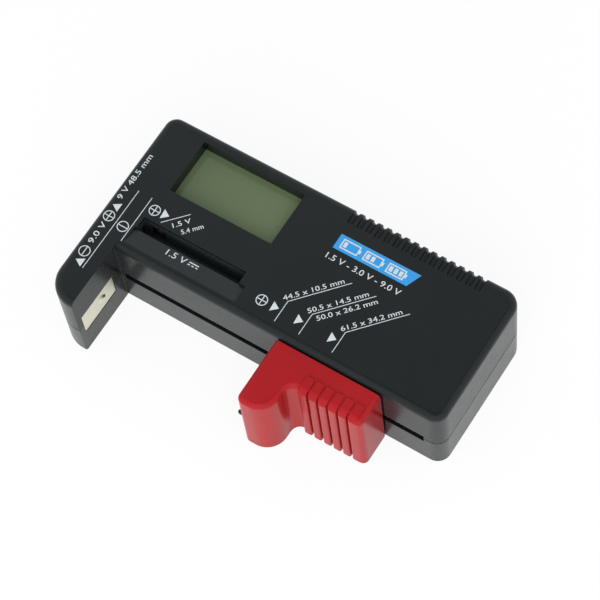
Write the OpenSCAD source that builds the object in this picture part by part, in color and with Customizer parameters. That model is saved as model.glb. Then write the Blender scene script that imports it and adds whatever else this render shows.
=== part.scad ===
// Pocket battery tester with a sliding contact, a display window and a slot for small cells.
// The case lies flat: X runs along the case, Y goes from the open cell bay to the back, Z is up.
// Inside the modules x starts at the left face, y at the front wall and z at the underside.

/* [Case] */
// Length of the case along X
case_l = 110; // [104:1:120]
// Depth of the main body along Y
body_d = 42; // [41:0.5:50]
// Height of the case
case_h = 28; // [27:0.5:32]
// Reach of the arm in front of the main body
arm_reach = 20; // [19:0.5:26]
// Thickness of the arm along X
arm_t = 9.4; // [9.2:0.1:11]
// Thickness of the case walls and floor
wall = 1.8; // [1.6:0.1:2]
// Thickness of the top face
top_t = 2; // [1.6:0.1:2.2]
// Height of the seam between the two shells
seam_z = 12.25; // [11:0.25:12.5]
// Radius of the round edge of the top face
edge_r = 2; // [1.4:0.1:2.2]
// Radius of the back left corner
small_corner_r = 3.5; // [3:0.25:4.5]
// Radius of the back right corner
right_corner_r = 5; // [4:0.25:6]
// Radius of the front right corner
front_corner_r = 3.8; // [3:0.1:5]
// Radius of the outer corner of the arm
arm_corner_r = 8.2; // [6:0.2:8.4]

/* [Slider] */
// Gap between the arm and the slider as shown
slider_gap = 51.1; // [46:0.5:54]
// Length of the slider along X
slider_l = 31.9; // [31:0.1:34]
// Height of the slider
slider_h = 25.9; // [24:0.1:26]
// Depth of the ribbed half of the slider
grip_d = 8.7; // [8.4:0.1:10]
// Width of the thumb lobe along X
lobe_w = 9.7; // [9:0.1:10]
// Gap between the slider and the surface that the case lies on
slider_lift = 0.5; // [0.4:0.1:1.2]
// Height of the slot in the front wall
slot_h = 3; // [2.2:0.1:3.2]
// Distance from the end of the slot to the right face
slot_end = 5.5; // [5:0.5:8]
// Running clearance of the slider
run_gap = 0.3; // [0.2:0.05:0.35]

/* [Display] */
// Length of the display window
window_l = 32.2; // [28:0.2:34]
// Depth of the display window along Y
window_d = 17; // [14:0.5:17]
// Distance from the left face to the window
window_x = 12.8; // [12.8:0.2:15]
// Distance from the back face to the window
window_back = 3.3; // [3.3:0.1:4]
// Depth of the glass below the top face
window_sink = 4; // [3.5:0.1:4.5]

/* [Small cell slot] */
// Length of the slot for button cells
cell_slot_l = 32.5; // [28:0.5:36]
// Width of the slot for button cells
cell_slot_w = 3.7; // [3:0.1:3.8]
// Depth of the slot for button cells
cell_slot_depth = 9; // [8:0.5:9.5]
// Distance from the front wall to the slot
cell_slot_y = 7.7; // [7.5:0.1:8]
// Drop of the ramp in front of the slot
ramp_drop = 0.9; // [0.5:0.1:1.2]

/* [Contacts] */
// Thickness of the contact metal
metal_t = 0.4; // [0.3:0.05:0.5]
// Depth of a contact below the face that it shows in
contact_sink = 0.1; // [0.05:0.05:0.5]
// Length of the arm and slider contacts along Y
contact_l = 14.2; // [13:0.2:14.4]
// Height of the arm and slider contacts
contact_h = 8; // [7:0.5:9]
// Height of the middle of the contacts above the underside
contact_z = 12.6; // [12.4:0.1:13]
// Distance between the middles of the two nine volt contacts
nine_volt_pitch = 18; // [17:0.5:18]
// Width of the windows for the nine volt contacts
nine_volt_w = 8; // [7:0.5:8.4]

/* [Board] */
// Length of the circuit board
board_l = 46.5; // [44:0.5:50]
// Thickness of the circuit board
board_t = 1.6; // [1.2:0.1:1.8]
// Thickness of each pane of the display
pane_t = 1.1; // [0.9:0.1:1.2]
// Height of the strip that joins the board to the display
zebra_h = 5.5; // [5:0.1:5.8]
// Diameter of the lead wires
lead_d = 1; // [0.8:0.1:1.2]

/* [Grip ribs] */
// Number of ribs on the back edge
back_ribs = 14; // [8:1:14]
// Distance between ribs on the back edge
back_pitch = 2.77; // [2.5:0.01:2.8]
// Number of ribs on the slider
slider_ribs = 6; // [4:1:6]
// Distance between ribs on the slider
slider_pitch = 3; // [2.6:0.05:3.05]

/* [Hidden] */
$fn = 64;

// A small overlap for cuts and joins
eps = 0.05;

// Seam and underside edges
seam_edge = [0.25, 0.25];
base_edge = [0.7, 0.7];
top_edge = [edge_r, edge_r];
edge_flats = 6;
arm_hollow_r = 4.6;

// Screws that close the case
screw_d = 2.2;
screw_head_d = 4;
screw_head_h = 1.6;
screw_hole_gap = 0.15;
screw_head_z = 3.4;
screw_l = 14;
boss_d = 5.2;
boss_inset = 6;
case_screw_places = [
  [arm_t / 2, boss_d / 2 + wall + 0.4 - arm_reach],
  [boss_inset - 0.8, body_d - boss_inset + 0.6],
  [case_l - boss_inset, body_d - boss_inset],
  [case_l - boss_inset, boss_inset + 10]
];

// Slot and slider
slot_x0 = arm_t + 1;
slot_x1 = case_l - slot_end;
slider_x0 = arm_t + slider_gap;
slider_x1 = slider_x0 + slider_l;
slider_z0 = slider_lift;
slider_z1 = slider_lift + slider_h;
slider_back = -run_gap - 0.1;
slider_front = 0.1 - arm_reach;
slider_fillet = 1.5;
slider_wall = 1.8;
slider_corner_r = 1.7;
lobe_left_r = 2;
lobe_r = 6;
cove_r = 2.8;
cove_step = 0.05;
grip_rib_w = 2.45;
grip_rib_edge = 0.55;
grip_rib_rise = 1.1;
grip_rib_crown = 0.35;
grip_rib_run = 4;
grip_rib_start = 4.3;
tongue_t = slot_h - 2 * run_gap;
tongue_x0 = slider_x0 + slider_wall + 2.6;
tongue_x1 = slider_x1 - slider_wall - 0.5;
tongue_reach = 6.6;
carriage_y0 = wall + run_gap;
carriage_d = 3.2;
carriage_h = 10;
carriage_x0 = tongue_x0 - 1.2;
carriage_x1 = slider_x1 - 0.4;
slider_screw_d = 2;
slider_screw_head_d = 3.6;
slider_screw_head_h = 1.4;
slider_screw_l = 9;
slider_screw_y = -4.6;
slider_screw_xs = [tongue_x0 + 6, tongue_x1 - 5];
slider_boss_d = 4.4;

// Contacts of the arm and the slider
pocket_gap = 0.2;
pocket_depth = contact_sink + metal_t;
contact_y0 = -2 - contact_l - pocket_gap - 1.6;
contact_y1 = contact_y0 + contact_l;
slider_contact_y0 = contact_y0 - 0.6;
slider_rivet_y = slider_contact_y0 + 1;
slider_rivet_z = contact_z - 0.8;
slider_rivet_d = 1.4;
slider_rivet_tip = 2;
slider_rivet_dome = 0.4;
arm_pocket_x = arm_t - pocket_depth;
slider_pocket_x = slider_x0 + pocket_depth;
arm_wall = 1.6;
tail_h = 5;
tail_z = contact_z - 0.6;
arm_tail_x = arm_t - arm_wall - 1;
dimple_r = 1.5;
dimple_rise = 0.5;

// Wiper and rail
wiper_y = carriage_y0 + carriage_d;
wiper_h = 4;
wiper_bow = 2.7;
wiper_span = 16;
wiper_r = (pow(wiper_span / 2, 2) + pow(wiper_bow, 2)) / (2 * wiper_bow);
wiper_mid = (carriage_x0 + carriage_x1) / 2;
wiper_screw_d = 1.6;
wiper_screw_head_d = 2.8;
wiper_screw_head_h = 0.8;
wiper_screw_xs = [carriage_x0 + 3.2, carriage_x1 - 3.2];
rail_y = wiper_y + wiper_bow + run_gap;
rail_h = 6.4;
rail_x0 = slot_x0 + 2.6;
rail_x1 = slot_x1 - 0.5;
rail_ear_w = 4;
rail_ear_drop = 4.6;
rail_post_w = 5;
rail_post_d = 3.6;
rail_post_top = seam_z - rail_h / 2 + 3;
rail_screw_d = 1.8;
rail_screw_head_d = 3;
rail_screw_head_h = 0.9;
rail_screw_l = 4;
rail_screw_z = seam_z - rail_h / 2 - rail_ear_drop / 2;
rail_post_xs = [rail_x0 + 9, (rail_x0 + rail_x1) / 2, rail_x1 - 6];

// Display stack, from the glass down to the board
window_y1 = body_d - window_back;
window_y0 = window_y1 - window_d;
window_x1 = window_x + window_l;
window_wall = 1.2;
glass_z = case_h - window_sink;
glass_margin = 1;
glass_x0 = window_x - glass_margin;
glass_x1 = window_x1 + glass_margin;
glass_y0 = window_y0 - 1.5;
glass_y1 = window_y1 + glass_margin;
glass_ledge = 2.6;
reflector_t = 0.2;
zebra_d = 2;
frame_wall = 1;
frame_gap = 0.15;
board_top = glass_z - pane_t - zebra_h;
board_z = board_top - board_t;
board_x0 = window_x - 3.3;
board_x1 = board_x0 + board_l;
board_y1 = body_d - wall - 0.5;
board_y0 = cell_slot_y + cell_slot_w + 2.6;
post_d = 3.6;
board_screw_d = 2;
board_screw_head_d = 3.2;
board_screw_head_h = 1.3;
board_screw_l = 6;
board_post_places = [
  [board_x0 + 2.7, board_y0 + 2],
  [board_x1 - 3.2, board_y0 + 2],
  [board_x1 - 3.2, board_y1 - 2.6]
];

// Parts under the board, with their places counted from the front left corner of the board
chip_place = [20, 13];
chip_r = 6;
chip_rise = 1.9;
load_place = [22, 4];
load_l = 6.5;
load_d = 2.6;
load_span = 10;
load_drop = 1.8;
diode_place = [22, 22.6];
diode_l = 4;
diode_d = 1.8;
diode_span = 8;
diode_drop = 1.4;

// Small cell slot
cell_x0 = arm_t + 2.1;
cell_x1 = cell_x0 + cell_slot_l;
cell_y1 = cell_slot_y + cell_slot_w;
cell_z = case_h - cell_slot_depth;
cell_wall = 1.2;
ramp_y0 = edge_r + 0.6;
ramp_flare = 2;
cell_window_h = 4.6;
cell_window_z = cell_z + 1.2;
cell_contact_w = 6;

// The rail ends below the floor of the small cell slot, and its lead hangs below the board
rail_top_gap = 2.35;
rail_top = cell_z - cell_wall - rail_top_gap;
rail_lead_drop = 2.55;

// Nine volt contacts on the left face
nine_volt_mid = 1.2;
nine_volt_z = contact_z + 0.8;
nine_volt_margin = 0.9;
nine_volt_rim = 0.7;
nine_volt_lead_x = 2.2;
nine_volt_lead_y = 2;
nine_volt_lead_z = 3;
nine_volt_lead_reach = 12;
nine_volt_lead_drop = 2;

// Grip ribs on the back edge, as grooves between them
back_groove_d = 1.7;
back_groove_sink = 0.75;
back_groove_top = 4.2;
back_groove_drop = 9;
back_rib_end = 11.5;

black = "#1b1d1e";
red = "#b3202c";
nickel = "#cfcabb";
brass = "#c9a45c";
steel = "#9a9c9e";
copper = "#b5764a";

// The case frame moved so that the middle of the underside is the origin
module placed() {
  translate([-case_l / 2, (arm_reach - body_d) / 2, 0]) children();
}

// Outline of the edge of a slab: d deep, with a bevel [width, height] below and an edge of flats above
function edge_outline(d, z0, z1, low, high, flats) = concat(
  [[0, z0], [d - low[0], z0], [d, z0 + low[1]]],
  [for (i = [0 : flats]) [
    d - high[0] * (1 - cos(90 * i / flats)),
    z1 - high[1] * (1 - sin(90 * i / flats))
  ]],
  [[0, z1]]
);

// A block with round upright corners; corners are front left, front right, back right, back left
module slab(x0, x1, y0, y1, z0, z1, corners, low, high, flats) {
  half_x = (x1 - x0) / 2;
  half_y = (y1 - y0) / 2;
  translate([x0 + corners[0], y0 + half_y, 0]) mirror([0, 1, 0]) rotate([90, 0, 90])
    linear_extrude(2 * half_x - corners[0] - corners[1])
    polygon(edge_outline(half_y, z0, z1, low, high, flats));
  translate([x0 + corners[3], y0 + half_y, 0]) rotate([90, 0, 90])
    linear_extrude(2 * half_x - corners[3] - corners[2])
    polygon(edge_outline(half_y, z0, z1, low, high, flats));
  translate([x0 + half_x, y1 - corners[3], 0]) mirror([1, 0, 0]) rotate([90, 0, 0])
    linear_extrude(2 * half_y - corners[0] - corners[3])
    polygon(edge_outline(half_x, z0, z1, low, high, flats));
  translate([x0 + half_x, y1 - corners[2], 0]) rotate([90, 0, 0])
    linear_extrude(2 * half_y - corners[1] - corners[2])
    polygon(edge_outline(half_x, z0, z1, low, high, flats));
  centres = [
    [x0 + corners[0], y0 + corners[0]], [x1 - corners[1], y0 + corners[1]],
    [x1 - corners[2], y1 - corners[2]], [x0 + corners[3], y1 - corners[3]]
  ];
  for (i = [0 : 3]) translate([centres[i][0], centres[i][1], 0]) rotate([0, 0, 180 + 90 * i])
    rotate_extrude(angle = 90) polygon(edge_outline(corners[i], z0, z1, low, high, flats));
}

// A plain block with round upright corners, used for the hollows
module rounded_block(x0, x1, y0, y1, z0, z1, corners) {
  none = [0.01, 0.01];
  slab(x0, x1, y0, y1, z0, z1, corners, none, none, 1);
}

// A block between two opposite corners
module block(from, to) {
  translate(from) cube(to - from);
}

// A round bar between two points
module bar(a, b, d) {
  run = b - a;
  translate(a) rotate([0, acos(run[2] / norm(run)), atan2(run[1], run[0])])
    cylinder(h = norm(run), d = d, $fn = 32);
}

// A lead wire through its points, with a ball at each bend
module lead(points) {
  for (i = [0 : len(points) - 2]) if (norm(points[i + 1] - points[i]) > eps)
    bar(points[i], points[i + 1], lead_d);
  for (i = [1 : len(points) - 2]) translate(points[i]) sphere(d = lead_d, $fn = 32);
}

// The two outer blocks of a shell between heights z0 and z1; the inner face of the arm is cut square
module shell_outside(z0, z1, low, high, flats) {
  arm_corner = edge_r + 0.2;
  arm_back = 2 * small_corner_r + 5;
  wide = arm_t + 2 * edge_r;
  slab(0, case_l, 0, body_d, z0, z1,
    [small_corner_r, front_corner_r, right_corner_r, small_corner_r], low, high, flats);
  difference() {
    slab(0, wide, -arm_reach, arm_back, z0, z1,
      [arm_corner_r, arm_corner, arm_corner, arm_corner], low, high, flats);
    block([arm_t, -arm_reach - 1, z0 - 1], [wide + 1, arm_back + 1, z1 + 1]);
  }
}

// The hollow of a shell between heights z0 and z1
module shell_inside(z0, z1) {
  inner = small_corner_r - wall;
  rounded_block(wall, case_l - wall, wall, body_d - wall, z0, z1,
    [inner, front_corner_r - wall, right_corner_r - wall, inner]);
  rounded_block(wall, arm_t - arm_wall, wall - arm_reach, wall + 2 * inner + 2, z0, z1,
    [arm_hollow_r, 1, 1, 1]);
}

// The slot in the front wall that the tongue of the slider runs in
module slider_slot() {
  block([slot_x0, -1, seam_z - slot_h / 2], [slot_x1, wall + eps, seam_z + slot_h / 2]);
}

// Pocket for the contact on the inner face of the arm, with a slit for its tail
module arm_pocket() {
  block([arm_pocket_x, contact_y0 - pocket_gap, contact_z - contact_h / 2 - pocket_gap],
    [arm_t + 1, contact_y1 + pocket_gap, contact_z + contact_h / 2 + pocket_gap]);
  block([arm_t - arm_wall - 1, contact_y1 - metal_t - 0.1, tail_z - pocket_gap],
    [arm_t, contact_y1 + 0.1, tail_z + tail_h + pocket_gap]);
}

// Windows for the nine volt contacts, with a dished rim
module nine_volt_windows() {
  for (side = [-1, 1]) translate([0, nine_volt_mid + side * nine_volt_pitch / 2, nine_volt_z]) {
    translate([-1, -nine_volt_w / 2, -nine_volt_w / 2]) cube([wall + 1 + eps, nine_volt_w, nine_volt_w]);
    translate([-1, -nine_volt_w / 2 - nine_volt_rim, -nine_volt_w / 2 - nine_volt_rim])
      cube([1.6, nine_volt_w + 2 * nine_volt_rim, nine_volt_w + 2 * nine_volt_rim]);
  }
}

// The shallow ramp in front of the small cell slot, open at its top
module ramp_cut() {
  translate([cell_x0 - 0.6, 0, 0]) rotate([90, 0, 90]) linear_extrude(cell_slot_l + 0.6 + ramp_flare)
    polygon([[ramp_y0, case_h], [cell_slot_y + eps, case_h - ramp_drop],
      [cell_slot_y + eps, case_h + 1], [ramp_y0, case_h + 1]]);
}

// Grooves across the back top edge that leave the grip ribs standing
module back_grooves() {
  first = case_l - back_rib_end - back_ribs * back_pitch;
  for (i = [0 : back_ribs]) translate([first + i * back_pitch, 0, 0]) {
    stand_off = back_groove_d / 2 - back_groove_sink;
    axis_z = case_h + stand_off;
    axis_y = body_d + stand_off;
    turn = edge_r * (2 - sqrt(2)) - sqrt(2) * stand_off + stand_off;
    bar([0, body_d - back_groove_top, axis_z], [0, body_d + 1, axis_z], back_groove_d);
    translate([0, body_d - back_groove_top, axis_z]) sphere(d = back_groove_d, $fn = 32);
    bar([0, axis_y, case_h - back_groove_drop], [0, axis_y, case_h + 1], back_groove_d);
    translate([0, axis_y, case_h - back_groove_drop]) sphere(d = back_groove_d, $fn = 32);
    bar([0, body_d - turn, axis_z], [0, axis_y, case_h - turn], back_groove_d);
  }
}

// Upper shell with the display window, the small cell slot and the grip ribs
module top_case() {
  color(black) placed() difference() {
    union() {
      difference() {
        shell_outside(seam_z, case_h, seam_edge, top_edge, edge_flats);
        shell_inside(seam_z - 1, case_h - top_t);
      }
      block([window_x - window_wall, window_y0 - window_wall, glass_z],
        [window_x1 + window_wall, window_y1 + window_wall, case_h - top_t + eps]);
      block([cell_x0 - cell_wall, cell_slot_y - cell_wall, cell_z - cell_wall],
        [cell_x1 + cell_wall, cell_y1 + cell_wall, case_h - top_t + eps]);
      block([cell_x0 - cell_wall, wall - eps, case_h - top_t - 1],
        [cell_x1 + ramp_flare + cell_wall, cell_slot_y, case_h - top_t + eps]);
      for (place = case_screw_places) translate([place[0], place[1], seam_z])
        cylinder(h = case_h - top_t - seam_z + eps, d = boss_d);
      for (place = board_post_places) translate([place[0], place[1], board_top])
        cylinder(h = case_h - top_t - board_top + eps, d = post_d);
    }
    block([window_x, window_y0, glass_z - 1], [window_x1, window_y1, case_h + 1]);
    block([cell_x0, cell_slot_y, cell_z], [cell_x1, cell_y1, case_h + 1]);
    ramp_cut();
    block([cell_x0 - cell_wall - 1, cell_slot_y + 0.6, cell_window_z],
      [cell_x0 + eps, cell_y1 - 0.6, cell_window_z + cell_window_h]);
    block([cell_x0 + 2, cell_y1 - eps, cell_window_z],
      [cell_x0 + 2 + cell_contact_w - 2, cell_y1 + cell_wall + 1, cell_window_z + cell_window_h]);
    slider_slot();
    arm_pocket();
    nine_volt_windows();
    back_grooves();
    for (place = case_screw_places) translate([place[0], place[1], seam_z - 1])
      cylinder(h = 10, d = screw_d);
    for (place = board_post_places) translate([place[0], place[1], board_top - 1])
      cylinder(h = board_screw_l - board_t + 1.6, d = board_screw_d);
  }
}

// Lower shell with the screw bosses, the posts for the rail and the lip that lines up the shells
module bottom_case() {
  lip_t = 1;
  lip_h = 1.4;
  lip_gap = 0.15;
  color(black) placed() difference() {
    union() {
      difference() {
        shell_outside(0, seam_z, base_edge, seam_edge, 1);
        shell_inside(wall, seam_z + 1);
      }
      for (place = case_screw_places) translate([place[0], place[1], wall - eps])
        cylinder(h = seam_z - wall + eps, d = boss_d);
      for (x = rail_post_xs) block([x - rail_post_w / 2, rail_y + metal_t, wall - eps],
        [x + rail_post_w / 2, rail_y + metal_t + rail_post_d, rail_post_top]);
      block([boss_inset + 4, body_d - wall - lip_t, seam_z - 2],
        [case_l - boss_inset - 4, body_d - wall + eps, seam_z]);
      block([boss_inset + 4, body_d - wall - lip_t, seam_z - eps],
        [case_l - boss_inset - 4, body_d - wall - lip_gap, seam_z + lip_h]);
      block([case_l - wall - lip_t, boss_inset + 14, seam_z - 2],
        [case_l - wall + eps, body_d - boss_inset - 4, seam_z]);
      block([case_l - wall - lip_t, boss_inset + 14, seam_z - eps],
        [case_l - wall - lip_gap, body_d - boss_inset - 4, seam_z + lip_h]);
    }
    slider_slot();
    arm_pocket();
    nine_volt_windows();
    for (place = case_screw_places) translate([place[0], place[1], 0]) {
      translate([0, 0, -1]) cylinder(h = screw_head_z + 1, d = screw_head_d + 2 * screw_hole_gap);
      cylinder(h = seam_z + 1, d = screw_d + 2 * screw_hole_gap);
    }
    for (x = rail_post_xs) translate([x, rail_y + metal_t + rail_post_d + 1, rail_screw_z])
      rotate([90, 0, 0]) cylinder(h = rail_post_d + 2, d = rail_screw_d);
  }
}

// A screw along +Z with its head below the origin and a cross recess
module screw(d, length, head_d, head_h) {
  recess = head_d * 0.55;
  difference() {
    union() {
      translate([0, 0, -eps]) cylinder(h = length + eps, d = d);
      translate([0, 0, -head_h]) cylinder(h = head_h, d = head_d);
    }
    for (turn = [0, 90]) translate([0, 0, -head_h]) rotate([0, 0, turn])
      cube([recess, head_d * 0.16, head_h], center = true);
  }
}

// Four screws that close the case from below
module case_screws() {
  color(steel) placed() for (place = case_screw_places) translate([place[0], place[1], screw_head_z])
    screw(screw_d, screw_l, screw_head_d, screw_head_h);
}

// Front pane of the display, with the ledge that the strip presses on
module display_front_glass() {
  color("#8d9a7c") placed() block([glass_x0, glass_y0, glass_z - pane_t], [glass_x1, glass_y1, glass_z]);
}

// Rear pane of the display
module display_rear_glass() {
  color("#8d9a7c") placed()
    block([glass_x0, glass_y0 + glass_ledge, glass_z - 2 * pane_t], [glass_x1, glass_y1, glass_z - pane_t]);
}

// Reflector sheet under the rear pane
module display_reflector() {
  color("#a8ae9c") placed()
    block([glass_x0, glass_y0 + glass_ledge, glass_z - 2 * pane_t - reflector_t],
      [glass_x1, glass_y1, glass_z - 2 * pane_t]);
}

// Frame that carries the display on the board and holds the strip
module display_frame() {
  seat_z = glass_z - 2 * pane_t - reflector_t;
  y1 = min(glass_y1 + frame_gap + frame_wall, body_d - wall - 0.1);
  color("#d9d9d2") placed() difference() {
    block([glass_x0 - frame_gap - frame_wall, glass_y0 - frame_gap - frame_wall, board_top],
      [glass_x1 + frame_gap + frame_wall, y1, glass_z - 0.2]);
    block([glass_x0 - frame_gap, glass_y0 - frame_gap, seat_z],
      [glass_x1 + frame_gap, glass_y1 + frame_gap, glass_z + 1]);
    block([glass_x0 + 1.2, glass_y0 + glass_ledge + 1.2, board_top - 1],
      [glass_x1 - 1.2, glass_y1 - 1.2, seat_z + 1]);
    block([glass_x0 + 1.2 - frame_gap, glass_y0 + 0.2 - frame_gap, board_top - 1],
      [glass_x1 - 1.2 + frame_gap, glass_y0 + 0.2 + zebra_d + frame_gap, seat_z + 1]);
  }
}

// Rubber strip that joins the board to the front pane
module zebra_strip() {
  color("#6f7377") placed() block([glass_x0 + 1.2, glass_y0 + 0.2, board_top],
    [glass_x1 - 1.2, glass_y0 + 0.2 + zebra_d, board_top + zebra_h]);
}

// Circuit board on the posts of the upper shell
module circuit_board() {
  color("#2f6b45") placed() difference() {
    block([board_x0, board_y0, board_z], [board_x1, board_y1, board_top]);
    for (place = board_post_places) translate([place[0], place[1], board_z - 1])
      cylinder(h = board_t + 2, d = board_screw_d + 0.3);
  }
}

// Screws that hold the board to the posts
module board_screws() {
  color(steel) placed() for (place = board_post_places) translate([place[0], place[1], board_z])
    screw(board_screw_d, board_screw_l, board_screw_head_d, board_screw_head_h);
}

// Resin cap over the display chip, under the board
module display_chip() {
  ball_r = (chip_r * chip_r + chip_rise * chip_rise) / (2 * chip_rise);
  place = [board_x0 + chip_place[0], board_y0 + chip_place[1], board_z];
  color("#131313") placed() translate(place) intersection() {
    translate([0, 0, ball_r - chip_rise]) sphere(r = ball_r);
    translate([0, 0, -chip_rise / 2]) cube([2 * chip_r, 2 * chip_r, chip_rise], center = true);
  }
}

// Voltage converter chip with three legs on each side
module converter_chip() {
  color("#202020") placed() translate([board_x0 + 34, board_y0 + 8, board_z]) {
    translate([-2.5, -2, -1.6]) cube([5, 4, 1.4]);
    for (x = [-1.6, 0, 1.6], side = [-1, 1]) translate([x - 0.25, side > 0 ? 1.9 : -3.1, -0.8])
      cube([0.5, 1.2, 0.8]);
  }
}

// Drum coil of the voltage converter
module boost_inductor() {
  color("#2b2b2e") placed() translate([board_x0 + 34, board_y0 + 16, board_z - 4.4]) rotate_extrude()
    polygon([[0, 0], [3, 0], [3, 0.8], [2.3, 0.8], [2.3, 3.6], [3, 3.6], [3, 4.4], [0, 4.4]]);
}

// Can capacitor under the board
module storage_capacitor() {
  color("#30435f") placed() translate([board_x0 + 41, board_y0 + 12, board_z - 6]) {
    cylinder(h = 5.4, d = 5);
    translate([0, 0, 5.4]) cylinder(h = 0.6, d = 4.4);
  }
}

// Two chip capacitors
module chip_capacitors() {
  color("#b59a72") placed() for (y = [17, 20]) translate([board_x0 + 41, board_y0 + y, board_z - 0.5])
    cube([2, 1.25, 1], center = true);
}

// Three chip resistors in a row
module chip_resistors() {
  color("#2a2a2a") placed() for (i = [0 : 2])
    translate([board_x0 + 9 + 3 * i, board_y0 + 20, board_z - 0.25]) cube([1.25, 2, 0.5], center = true);
}

// An axial part under the board: a round body with two bent wire ends
module axial_part(body_l, body_w, span, drop) {
  wire = 0.6;
  bar([-body_l / 2, 0, -drop], [body_l / 2, 0, -drop], body_w);
  for (side = [-1, 1]) {
    bar([side * body_l / 2, 0, -drop], [side * span / 2, 0, -drop], wire);
    translate([side * span / 2, 0, -drop]) sphere(d = wire, $fn = 32);
    bar([side * span / 2, 0, -drop], [side * span / 2, 0, 0], wire);
  }
}

// Resistor that loads the cell under test
module load_resistor() {
  color("#c8b48a") placed() translate([board_x0 + load_place[0], board_y0 + load_place[1], board_z])
    axial_part(load_l, load_d, load_span, load_drop);
}

// Diode in the nine volt line
module blocking_diode() {
  color("#8a3b22") placed() translate([board_x0 + diode_place[0], board_y0 + diode_place[1], board_z])
    axial_part(diode_l, diode_d, diode_span, diode_drop);
}

// Contact in the inner face of the arm, with a tail that ends behind the small cell slot
module arm_contact() {
  mid_y = contact_y0 + 0.62 * contact_l;
  tail_y = cell_slot_y + 0.2;
  end_x = cell_x0 - cell_wall;
  color(nickel) placed() {
    block([arm_pocket_x, contact_y0, contact_z - contact_h / 2],
      [arm_pocket_x + metal_t, contact_y1, contact_z + contact_h / 2]);
    translate([arm_pocket_x + metal_t - eps, mid_y, contact_z + 0.2]) rotate([0, 90, 0])
      cylinder(h = dimple_rise + eps, r1 = dimple_r, r2 = dimple_r * 0.6);
    block([arm_tail_x, contact_y1 - metal_t, tail_z], [arm_pocket_x + eps, contact_y1, tail_z + tail_h]);
    block([arm_tail_x, contact_y1 - metal_t, tail_z],
      [arm_tail_x + metal_t, tail_y + metal_t, tail_z + tail_h]);
    block([arm_tail_x, tail_y, tail_z + tail_h - 1.2],
      [end_x, tail_y + metal_t, cell_window_z + cell_window_h]);
    block([end_x - metal_t, tail_y, cell_window_z - 0.8],
      [end_x, cell_y1 - 0.2, cell_window_z + cell_window_h + 0.6]);
  }
}

// Contact behind the back wall of the small cell slot, with a boss through its window
module small_cell_contact() {
  y = cell_y1 + cell_wall;
  mid_x = cell_x0 + cell_contact_w / 2 + 1;
  mid_z = cell_window_z + cell_window_h / 2;
  color(nickel) placed() {
    block([mid_x - cell_contact_w / 2, y, cell_window_z - 0.8],
      [mid_x + cell_contact_w / 2, y + metal_t, cell_window_z + cell_window_h + 0.8]);
    translate([mid_x, y + eps, mid_z]) rotate([90, 0, 0])
      cylinder(h = cell_wall + eps - 0.2, r1 = dimple_r, r2 = dimple_r * 0.7);
  }
}

// Plate behind a nine volt window, with a raised middle
module nine_volt_plate(y) {
  half = nine_volt_w / 2 + nine_volt_margin;
  block([wall, y - half, nine_volt_z - half], [wall + metal_t, y + half, nine_volt_z + half]);
  translate([wall + eps, y, nine_volt_z]) rotate([0, -90, 0])
    cylinder(h = 0.7 + eps, r1 = 2.6, r2 = 1.8);
}

// Positive nine volt contact on the left face
module nine_volt_plus_contact() {
  color(nickel) placed() nine_volt_plate(nine_volt_mid + nine_volt_pitch / 2);
}

// Negative nine volt contact on the left face
module nine_volt_minus_contact() {
  color(nickel) placed() nine_volt_plate(nine_volt_mid - nine_volt_pitch / 2);
}

// Strip that the wiper of the slider follows, with ears screwed to the posts
module contact_rail() {
  color(brass) placed() difference() {
    union() {
      block([rail_x0, rail_y, seam_z - rail_h / 2], [rail_x1, rail_y + metal_t, rail_top]);
      for (x = rail_post_xs) block([x - rail_ear_w / 2, rail_y, seam_z - rail_h / 2 - rail_ear_drop],
        [x + rail_ear_w / 2, rail_y + metal_t, seam_z - rail_h / 2 + eps]);
    }
    for (x = rail_post_xs) translate([x, rail_y + metal_t + 1, rail_screw_z]) rotate([90, 0, 0])
      cylinder(h = metal_t + 2, d = rail_screw_d + 0.3);
  }
}

// Screws of the contact rail
module rail_screws() {
  color(steel) placed() for (x = rail_post_xs) translate([x, rail_y, rail_screw_z]) rotate([-90, 0, 0])
    screw(rail_screw_d, rail_screw_l, rail_screw_head_d, rail_screw_head_h);
}

// Black lead from the arm contact to the board
module arm_lead() {
  x = arm_tail_x + metal_t;
  z = tail_z + 1;
  y = board_y0 + 5.4;
  run_z = board_z - lead_d / 2 - 1.1;
  color("#1a1a1a") placed() lead([
    [x, 4, z], [x + 1.5, 4, z], [x + 1.5, 4, run_z], [x + 1.5, y, run_z],
    [board_x0 + 5, y, run_z], [board_x0 + 5, y, board_z]
  ]);
}

// White lead from the small cell contact to the board
module small_cell_lead() {
  x = cell_x0 + cell_contact_w / 2 + 1;
  y = cell_y1 + cell_wall + metal_t;
  z = cell_window_z + 1;
  color("#d8d8d8") placed() lead([[x, y, z], [x, board_y0 + 1.2, z], [x, board_y0 + 1.2, board_top]]);
}

// Red lead from the positive nine volt contact to the board
module nine_volt_plus_lead() {
  x = wall + metal_t;
  y = nine_volt_mid + nine_volt_pitch / 2 + nine_volt_lead_y;
  z = nine_volt_z + nine_volt_lead_z;
  run_x = x + nine_volt_lead_x;
  far_x = board_x0 + nine_volt_lead_drop;
  far_y = board_y0 + nine_volt_lead_reach;
  low_z = board_z - nine_volt_lead_drop;
  color(red) placed() lead([
    [x, y, z], [run_x, y, z], [run_x, far_y, z], [run_x, far_y, low_z],
    [far_x, far_y, low_z], [far_x, far_y, board_z]
  ]);
}

// Black lead from the negative nine volt contact to the board
module nine_volt_minus_lead() {
  x = wall + metal_t;
  y = nine_volt_mid - nine_volt_pitch / 2 + 3;
  z = nine_volt_z - 2.4;
  far_y = board_y0 + 8.4;
  color("#1a1a1a") placed() lead([
    [x, y, z], [x + 2, y, z], [x + 2, far_y, z], [board_x0 + 2, far_y, z], [board_x0 + 2, far_y, board_z]
  ]);
}

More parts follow.
